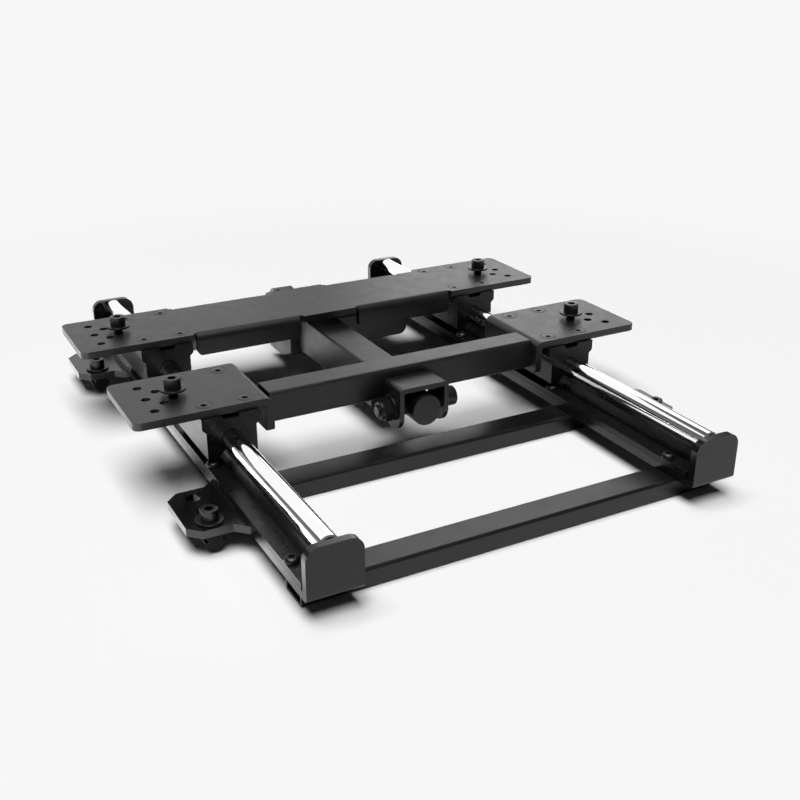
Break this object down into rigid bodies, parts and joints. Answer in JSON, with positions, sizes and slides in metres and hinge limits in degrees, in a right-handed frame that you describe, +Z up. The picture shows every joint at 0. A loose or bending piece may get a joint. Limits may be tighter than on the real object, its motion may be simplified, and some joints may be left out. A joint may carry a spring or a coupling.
{
  "type": "seat slide rail",
  "caption": "Seat slide with round-shaft rails on a welded base and a plate carriage on bearing blocks, pushed along the rails by a screw actuator.",
  "frame": {"origin": "bottom centre of the base, on the floor under the middle of the cross tubes", "axes": "+X across to the right, -Y to the front where the clevis is, +Z up"},
  "size_m": [0.45, 0.53, 0.0856],
  "materials": {
    "black_coat": "satin black powder coat",
    "black_anodised": "black anodised",
    "ground_shaft": "ground and polished",
    "black_fasteners": "black oxide",
    "black_rubber": "matte",
    "black_plastic": "fine texture",
    "bushing_steel": "ground"
  },
  "bodies": {
    "base": {"left_rail_tray": "black_coat", "right_rail_tray": "black_coat", "left_rail_support": "black_anodised", "right_rail_support": "black_anodised", "left_shaft": "ground_shaft", "right_shaft": "ground_shaft", "front_cross_tube": "black_coat", "middle_cross_tube": "black_coat", "rear_cross_tube": "black_coat", "rail_screws": "black_fasteners", "shaft_screws": "black_fasteners", "ear_screws": "black_fasteners", "ear_washers": "black_fasteners", "tee_nuts": "black_fasteners", "anchor_bracket": "black_coat", "anchor_bolt": "black_fasteners", "anchor_nut": "black_fasteners", "actuator_profile": "black_anodised", "actuator_cap": "black_plastic", "gear_housing": "black_plastic", "motor_housing": "black_plastic"},
    "carriage": {"rear_plate": "black_coat", "left_front_bracket": "black_coat", "right_front_bracket": "black_coat", "front_carriage_tube": "black_coat", "front_clevis": "black_coat", "front_left_block": "black_anodised", "front_right_block": "black_anodised", "rear_left_block": "black_anodised", "rear_right_block": "black_anodised", "ball_bushings": "bushing_steel", "block_seals": "black_rubber", "block_screws": "black_fasteners", "seat_screws": "black_fasteners", "seat_washers": "black_fasteners", "clevis_bolt": "black_fasteners", "clevis_nut": "black_fasteners", "clevis_washers": "black_fasteners", "clevis_spacers": "black_fasteners", "actuator_rod": "ground_shaft", "rod_end": "black_fasteners"}
  },
  "joints": [
    {"name": "carriage_slide", "type": "slide", "parent": "base", "child": "carriage", "axis": [0, -1, 0], "range_m": [-0.01, 0.1]}
  ]
}
